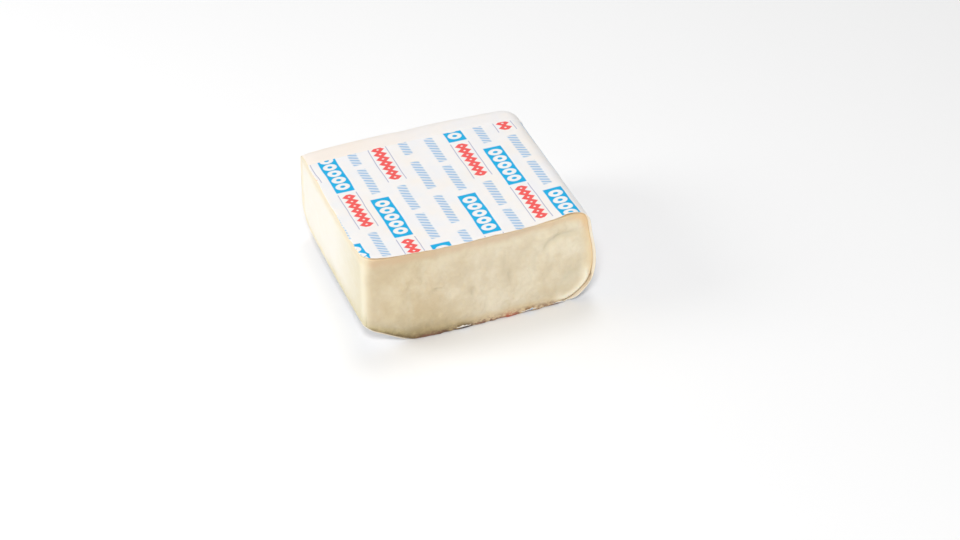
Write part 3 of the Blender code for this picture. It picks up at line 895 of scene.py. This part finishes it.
# %% [markdown]
# ## The look of the cheese
#
# Young paste is pale ivory. Towards the rind it ripens, and turns yellower in the last few
# millimetres, up to a thin tan line. A painted texture could show that, but would need an
# unwrapped mesh. Here the colours follow the stored distance to the rind, with noise to break
# their lines, and slow changes across the piece depend on the place alone. Soft cheese lets a
# little light in, so it has some subsurface scattering. The wet grain of the cut is too fine for
# the mesh, and it is a bump.

# %% Places that differ in colour
def cheese_zones(look, places):
    """Shares of 0 to 1 that say where a point is. The places are in metres from the origin."""
    across, deep, height = look.parts(places)
    fades_up = look.ramp(height, 0.048, 0.034, 0.1, 0.5)
    return {
        "painted light to the right": look.ramp(across, -0.055, 0.050, smooth=False),
        "pale middle": look.times(look.peak(across, 0.002, 0.040), fades_up),
        "cut corner": look.times(look.peak(across, -0.052, 0.010), 0.45),
        "low left": look.times(look.ramp(height, 0.024, 0.006), look.ramp(across, 0.008, -0.040)),
        "left face": look.ramp(deep, -0.051, -0.046),
        "painted light to the back": look.ramp(deep, -0.050, -0.008, smooth=False),
        "painted crest highlight": look.peak(deep, -0.053, 0.012),
        "near top": look.ramp(height, 0.036, 0.045),
        "top middle": look.ramp(across, -0.035, -0.008),
        "top right": look.ramp(across, 0.018, 0.046),
        "right edge": look.peak(across, 0.050, 0.006),
        # Painted shadow: a dark spot under the left tuck, and a darker stretch along the foot.
        "shadow under tuck": look.peak(across, -0.0085, 0.006),
        "painted foot shadow": look.peak(across, -0.014, 0.013),
        "reddish foot": look.peak(across, 0.014, 0.007),
    }


def paste_colour(look, zones, cloud):
    """The paste away from the rind: painted lighter to the right, and palest on the left face, where painted
    light grows towards the back and a painted highlight lies along the corner crest.
    """
    side = look.layers(paint(224, 213, 178), [
        # The left face painted lighter towards its back, as painted light.
        (zones["painted light to the back"], paint(244, 239, 227)),
        # A painted highlight along the crest of the rounded cut corner.
        (zones["painted crest highlight"], paint(255, 249, 228)),
    ])
    return look.layers(look.mix(cloud, paint(208, 186, 147), paint(222, 205, 169)), [
        # The front painted paler to the right, as painted light.
        (zones["painted light to the right"], look.mix(cloud, paint(227, 211, 179), paint(241, 229, 202))),
        (zones["pale middle"], look.mix(cloud, paint(228, 216, 190), paint(241, 231, 210))),
        (zones["cut corner"], paint(207, 184, 142)),
        (zones["low left"], look.mix(cloud, paint(204, 184, 143), paint(216, 198, 160))),
        (zones["left face"], side),
    ])


print("young paste in linear light:", np.round(paint(208, 186, 147)[:3], 2).tolist())

# %% Riper paste and the foot
FLATTER = (1.0, 1.0, 1.6)


def rind_colours(look, zones):
    """The riper paste inside the rind, and the edge next to it."""
    top_band = look.layers(paint(218, 191, 154), [
        (zones["top middle"], paint(223, 199, 168)),
        (zones["top right"], paint(234, 209, 171)),
        (zones["right edge"], paint(240, 207, 161)),
    ])
    low_band = look.mix(zones["low left"], paint(238, 216, 174), paint(224, 204, 144))
    low_edge = look.mix(zones["low left"], paint(241, 216, 174), paint(222, 200, 140))
    riper = look.mix(zones["near top"], low_band, top_band)
    riper = look.mix(zones["left face"], riper, paint(240, 228, 198))
    return riper, look.mix(zones["near top"], low_edge, top_band)


def foot_coats(look, zones, places):
    """The band of painted shade along the foot, partly rind colour, and over it the rind's brown line
    with a painted contact shadow: patchy, darker in one stretch, darkest in one spot of painted
    shadow under a tuck, and reddish in another stretch. Each is a share and a colour."""
    uneven = look.ramp(look.noise(places, 260.0, 3.0, 0.6), 0.3, 0.6, 0.7, 1.1)
    # Painted shade along the foot, partly rind colour: dark brown on the front, pale yellow on the left
    # face.
    shade_and_rind = look.mix(zones["left face"], paint(112, 90, 52), paint(216, 205, 166))
    patches = look.ramp(look.noise(look.object_places(FLATTER), 420.0, 3.0, 0.6), 0.40, 0.58, 0.2)
    rind_and_shadow = look.layers(paint(136, 96, 76), [
        (zones["painted foot shadow"], paint(92, 64, 48)),
        (zones["shadow under tuck"], paint(58, 44, 36)),
        (zones["reddish foot"], paint(186, 98, 74)),
    ])
    return [
        (look.times(look.attribute("shade_and_rind"), uneven), shade_and_rind),
        # The rind's brown line at the foot, with a painted contact shadow, darkest under the left tuck.
        (look.times(look.attribute("stained"), look.math("MAXIMUM", zones["shadow under tuck"], patches)), rind_and_shadow),
    ]


print("the pit at the foot in linear light:", np.round(paint(58, 44, 36)[:3], 3).tolist())

# %% Dress the cheese
RIPE_DEPTH, RIPE_SHARE = (6.5, 1.8), 0.8
EDGE_DEPTH, EDGE_DEEPER_ON_TOP, RIND_DEPTH = (2.6, 0.4), 1.3, (0.4, -0.6)
RIND_UNEVEN, HOLLOW_SHADE_SHARE, LIP_HIGHLIGHT_SHARE = 2.2, 0.38, 0.95


def cheese_material():
    """Coats from the inside out, by the depth under the rind in mm, made uneven by noise."""
    look = Pattern("cheese_paste")
    places = look.object_places()
    zones = cheese_zones(look, places)
    cloud = look.ramp(look.noise(places, 75.0, 4.0, 0.6), 0.36, 0.66)
    uneven = look.times(look.minus(look.noise(places, 160.0, 3.0), 0.5), RIND_UNEVEN)
    depth = look.plus(look.attribute("rind_mm"), uneven)
    edge_depth = look.minus(depth, look.times(zones["near top"], EDGE_DEEPER_ON_TOP))
    riper, edge = rind_colours(look, zones)
    shows = look.attribute("rind_shows")
    grain = look.plus(look.noise(places, 900.0, 3.0), look.noise(places, 300.0))
    colour = look.layers(paste_colour(look, zones, cloud), [
        (look.times(look.ramp(depth, *RIPE_DEPTH), RIPE_SHARE), riper),
        # Painted shade in the hollows of the front marks.
        (look.times(look.attribute("hollow"), HOLLOW_SHADE_SHARE), paint(184, 170, 138)),
        (look.times(look.ramp(edge_depth, *EDGE_DEPTH), shows), edge),
        (look.times(look.ramp(depth, *RIND_DEPTH), shows), paint(226, 199, 160)),
        *foot_coats(look, zones, places),
        # A painted highlight along the soft lip at the lower right.
        (look.times(look.attribute("lip"), LIP_HIGHLIGHT_SHARE), paint(255, 246, 222)),
    ])
    return look.finish({
        "Base Color": colour,
        "Roughness": look.ramp(look.noise(places, 220.0), 0.3, 0.7, 0.38, 0.55),
        "Subsurface Weight": 0.2,
        "Subsurface Radius": (1.0, 0.8, 0.5),
        "Subsurface Scale": 0.002,
        "Normal": look.bump(grain, 0.35, 0.0003),
    })


cheese.data.materials.append(cheese_material())
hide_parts("cheese")
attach(cheese, "root")
print("cheese is dressed")

# %% [markdown]
# ## The surface of the paper
#
# Waxed paper has an uneven soft gloss, fine fibres, and lets a little light through. Its inner
# side and cut edges are bare, and creamier from the rind that it lay on. A photo of paper could
# show that, but noise needs no file. Both sides share one finish and differ only in colour.

# %% Waxed paper
def plain_colour(look, places):
    """White paper with faint cloudy differences and a few creamier places."""
    tone = look.ramp(look.noise(places, 110.0, 3.0, 0.6), 0.3, 0.7)
    cream = look.times(look.ramp(look.noise(places, 45.0), 0.45, 0.72), 0.6)
    white = look.mix(tone, paint(244, 239, 235), paint(239, 237, 237))
    return look.mix(cream, white, paint(247, 236, 223))


def waxed_finish(look, places, colour):
    """The finished material of a waxed sheet of the given colour."""
    fibre = look.plus(look.noise(places, 1500.0), look.noise(places, 350.0))
    return look.finish({
        "Base Color": colour,
        "Roughness": look.ramp(look.noise(places, 140.0), 0.3, 0.7, 0.42, 0.60),
        "Specular IOR Level": 0.25,
        "Subsurface Weight": 0.35,
        "Subsurface Radius": (1.0, 0.9, 0.8),
        "Subsurface Scale": 0.0006,
        "Normal": look.bump(fibre, 0.25, 0.0002),
    })


def bare_paper_material():
    """Creamy paper, stained unevenly by the rind."""
    look = Pattern("bare_paper")
    places = look.object_places()
    stained = look.ramp(look.noise(places, 90.0, 3.0), 0.35, 0.7)
    return waxed_finish(look, places, look.mix(stained, paint(255, 245, 227), paint(255, 238, 215)))


bare_paper = bare_paper_material()

# %% [markdown]
# ## The print on the paper
#
# The sheet has a plain pattern in columns: blue bars with a row of white rings, chains of red
# lozenges between two thin lines, and rows of pale slanted strokes. Each column is moved on from
# the one before, so no two rows line up. Every fifth column and the underside have the pale
# strokes alone. The print stops at the fold along the back of the top, where a plain margin lies
# over it. An image would need a file, so the pattern is worked out from the flat map.

# %% Columns of the print
COLUMN, COLUMN_SLANT, COLUMN_WOBBLE = 12.9, 0.03, 1.2
REPEAT, COLUMN_SHIFT, FIRST_ROW = 112.0, 41.0, 300.0
QUIET_EVERY, UNDERSIDE_COLUMN = 5, 8
SOFT, FINE = 0.25, 0.2


def sheet_places(look):
    """The flat map in millimetres: u along the sheet and v across it."""
    u, v = look.parts(look.add("UVMap", {}, uv_map="sheet")[0])[:2]
    return look.times(u, 1 / UV_PER_MM), look.times(v, 1 / UV_PER_MM)


def print_columns(look, places, u, v):
    """x from the middle of a column, y along it, and 1 where the column has bars and lozenges."""
    wobble = look.times(look.minus(look.noise(places, 60.0, 1.0), 0.5), COLUMN_WOBBLE)
    turned = look.plus(look.math("MULTIPLY_ADD", v, COLUMN_SLANT, u), wobble)
    column = look.math("FLOOR", look.math("DIVIDE", turned, COLUMN))
    x = look.minus(look.minus(turned, look.times(column, COLUMN)), COLUMN / 2)
    shifted = look.math("MULTIPLY_ADD", column, COLUMN_SHIFT, look.plus(v, FIRST_ROW))
    y = look.math("FLOORED_MODULO", shifted, REPEAT)
    loud = look.math("LESS_THAN", look.math("FLOORED_MODULO", column, QUIET_EVERY), QUIET_EVERY - 1.5)
    on_outside = look.math("LESS_THAN", column, UNDERSIDE_COLUMN - 0.5)
    return x, y, look.times(loud, on_outside)


def row_place(look, y, start, pitch):
    """Place along one motif of a row, counted from its middle."""
    from_start = look.math("FLOORED_MODULO", look.minus(y, start), pitch)
    return look.minus(from_start, pitch / 2)


print("columns across the top:", int((RIGHT - LEFT) / COLUMN))

# %% Bars, lozenges and strokes
BAR, BAR_HALF = (31.0, 62.0), 4.6
RING_ROW, RING_PITCH, RING_NARROW, RING_OUTSIDE, RING_HOLE = (32.6, 60.4), 5.56, 0.52, 2.5, 0.9
CHAIN, LOZENGE_PITCH, LOZENGE_SHARP = (2.0, 28.6), 3.8, 1.3
LOZENGE_HALF, LOZENGE_HOLE = 3.45, 0.75
LINE_ROW, LINE_PLACE = (1.0, 29.6), (4.3, 4.75)
STROKE_ROWS, QUIET_PITCH, QUIET_ROW = [(66.0, 86.0), (89.5, 109.0)], 28.0, (-11.0, 11.0)
STROKE_HALF, STROKE_SOFT, STROKE_SLANT, STROKE_TURN = 2.15, 0.45, 1.3, 2.9


def blue_bars(look, x, y, side):
    """A bar less its rings. A ring lies between two distances from its middle, squashed in x."""
    bar = look.times(look.within(y, *BAR, SOFT), look.below(side, BAR_HALF, SOFT))
    along = row_place(look, y, RING_ROW[0], RING_PITCH)
    squared = look.plus(look.times(along, along), look.times(look.times(x, x), RING_NARROW))
    distance = look.math("SQRT", squared)
    hole = look.below(distance, RING_HOLE, FINE)
    ring = look.times(look.below(distance, RING_OUTSIDE, FINE), look.minus(1.0, hole))
    rings = look.times(ring, look.within(y, *RING_ROW, SOFT))
    return look.times(bar, look.minus(1.0, rings))


def red_lozenges(look, y, side):
    """A chain of lozenges with white middles: the sum of both distances stays under a limit."""
    along = look.times(row_place(look, y, CHAIN[0], LOZENGE_PITCH), LOZENGE_SHARP)
    lozenge = look.plus(look.math("ABSOLUTE", along), side)
    chain = look.times(look.below(lozenge, LOZENGE_HALF, SOFT), look.within(y, *CHAIN, SOFT))
    return look.times(chain, look.minus(1.0, look.below(lozenge, LOZENGE_HOLE, SOFT)))


def thin_lines(look, y, side):
    """One thin line on either side of a chain."""
    return look.times(look.within(side, *LINE_PLACE, FINE), look.within(y, *LINE_ROW, SOFT))


def pale_strokes(look, x, y, side, loud):
    """A slanted sine wave, kept to two rows of a loud column and to many short ones of a quiet one."""
    wave = look.math("SINE", look.math("MULTIPLY_ADD", x, STROKE_SLANT, look.times(y, STROKE_TURN)))
    strokes = look.times(look.ramp(wave, -0.5, 0.4, 0.25), look.below(side, STROKE_HALF, STROKE_SOFT))
    rows = look.math("MAXIMUM", *(look.within(y, *row, SOFT) for row in STROKE_ROWS))
    quiet_rows = look.within(row_place(look, y, 0.0, QUIET_PITCH), *QUIET_ROW, SOFT)
    quiet = look.times(look.times(strokes, quiet_rows), look.minus(1.0, loud))
    return look.math("MAXIMUM", look.times(look.times(strokes, rows), loud), quiet)


print("rings in a bar:", int((RING_ROW[1] - RING_ROW[0]) / RING_PITCH))

# %% Dress the paper
PRINT_END, PRINT_END_SOFT, MARGIN_WARM = BACK - TOP_FLAP - 0.05, 0.15, (25.0, -45.0, 0.15, 0.9)


def printed_paper_material():
    """White paper, its margin, warmer at the left, and the inks from the palest to the strongest."""
    look = Pattern("printed_paper")
    places = look.object_places()
    u, v = sheet_places(look)
    x, y, loud = print_columns(look, places, u, v)
    side = look.math("ABSOLUTE", x)
    printed = look.below(v, PRINT_END, PRINT_END_SOFT)
    warm = look.times(look.minus(1.0, printed), look.ramp(u, *MARGIN_WARM))
    printed_loud = look.times(printed, loud)
    colour = look.layers(plain_colour(look, places), [
        (warm, paint(246, 232, 220)),
        (look.times(pale_strokes(look, x, y, side, loud), printed), paint(158, 190, 221)),
        (look.times(thin_lines(look, y, side), printed_loud), paint(176, 176, 200)),
        (look.times(red_lozenges(look, y, side), printed_loud), paint(241, 91, 88)),
        (look.times(blue_bars(look, x, y, side), printed_loud), paint(0, 170, 222)),
    ])
    return waxed_finish(look, places, colour)


paper.data.materials.append(printed_paper_material())
paper.data.materials.append(bare_paper)
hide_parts("paper_wrap")
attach(paper, "root")
print("paper is dressed")

# %% [markdown]
# ## The studio
#
# The picture needs a pale floor without a horizon, and soft light from the upper left that makes
# the left cut face the brightest. A sky texture could light it, but area lights are easier to
# steer: one from the left, one from the front, one from above, and a dim even glow for the shadows.

# %% Floor and light
FLOOR_HALF, FLOOR_WHITE, FLOOR_ROUGHNESS, GLOW = 4.0, (0.93, 0.93, 0.93, 1.0), 0.9, 0.44

# Name, place, target, size in metres, and watts.
LIGHTS = [
    ("key", (-0.85, 0.28, 0.50), (-0.05, 0.01, 0.03), 0.5, 3.2),
    ("front", (-0.35, -0.85, 1.15), (0, 0, 0.03), 0.35, 8.8),
    ("overhead", (0.25, 0.45, 1.4), (0, 0, 0.03), 0.6, 4.5),
]


def make_floor():
    """One large square under the piece."""
    signs = [(-1, -1), (1, -1), (1, 1), (-1, 1)]
    corners = [(FLOOR_HALF * across, FLOOR_HALF * deep, 0) for across, deep in signs]
    mesh = bpy.data.meshes.new("floor")
    mesh.from_pydata(corners, [], [(0, 1, 2, 3)])
    floor = bpy.data.objects.new("floor", mesh)
    bpy.context.scene.collection.objects.link(floor)
    white = Pattern("floor_white").finish({"Base Color": FLOOR_WHITE, "Roughness": FLOOR_ROUGHNESS})
    mesh.materials.append(white)


def make_light(name, place, target, size, watts):
    """A round area light at place that faces target."""
    light = bpy.data.lights.new(name, "AREA")
    light.shape = "DISK"
    light.size = size
    light.energy = watts
    lamp = bpy.data.objects.new(name, light)
    away = (Vector(place) - Vector(target)).to_track_quat("Z", "Y")
    lamp.matrix_world = Matrix.Translation(place) @ away.to_matrix().to_4x4()
    bpy.context.scene.collection.objects.link(lamp)


def make_glow():
    """An even white world."""
    world = bpy.data.worlds.new("studio")
    world.use_nodes = True
    background = world.node_tree.nodes["Background"]
    background.inputs["Color"].default_value = (1.0, 1.0, 1.0, 1.0)
    background.inputs["Strength"].default_value = GLOW
    bpy.context.scene.world = world


make_floor()
for row in LIGHTS:
    make_light(*row)
make_glow()
bpy.context.scene.view_settings.view_transform = "Standard"
print("lights:", [row[0] for row in LIGHTS])

# %% [markdown]
# ## The camera
#
# The camera looks down at the piece from the front left. It could be turned until the piece sits
# well, but that also changes the perspective. So it is moved to the right and down instead, which
# puts the piece left of the picture's middle and above it, and it keeps its direction.

# %% Camera
AZIMUTH, ELEVATION = np.radians(-21.378), np.radians(38.0)
DISTANCE, TO_THE_RIGHT, DOWN = 1042.9, 18.10, 22.77
FOCAL_PIXELS, FRAME_PIXELS, SENSOR = 2164.9, 960.0, 36.0
NEAREST, FARTHEST = 0.05, 20.0


def make_camera():
    """Right, up and back are the camera's axes. The lens follows from the focal length in pixels."""
    level = np.array([np.sin(AZIMUTH), -np.cos(AZIMUTH), 0.0])
    back = level * np.cos(ELEVATION) + np.array([0.0, 0.0, np.sin(ELEVATION)])
    right = np.array([np.cos(AZIMUTH), np.sin(AZIMUTH), 0.0])
    up = np.cross(back, right)
    middle = np.array([0.0, 0.0, HEIGHT / 2]) + CENTRED
    place = middle + back * DISTANCE + right * TO_THE_RIGHT - up * DOWN
    data = bpy.data.cameras.new("camera")
    data.sensor_fit = "HORIZONTAL"
    data.sensor_width = SENSOR
    data.lens = SENSOR * FOCAL_PIXELS / FRAME_PIXELS
    data.clip_start = NEAREST
    data.clip_end = FARTHEST
    camera = bpy.data.objects.new("camera", data)
    pose = np.eye(4)
    pose[:3, :] = np.stack([right, up, back, place * MM], -1)
    camera.matrix_world = Matrix(pose.tolist())
    bpy.context.scene.collection.objects.link(camera)
    bpy.context.scene.camera = camera
    return camera


camera = make_camera()
print("camera lens in mm:", round(camera.data.lens, 2))
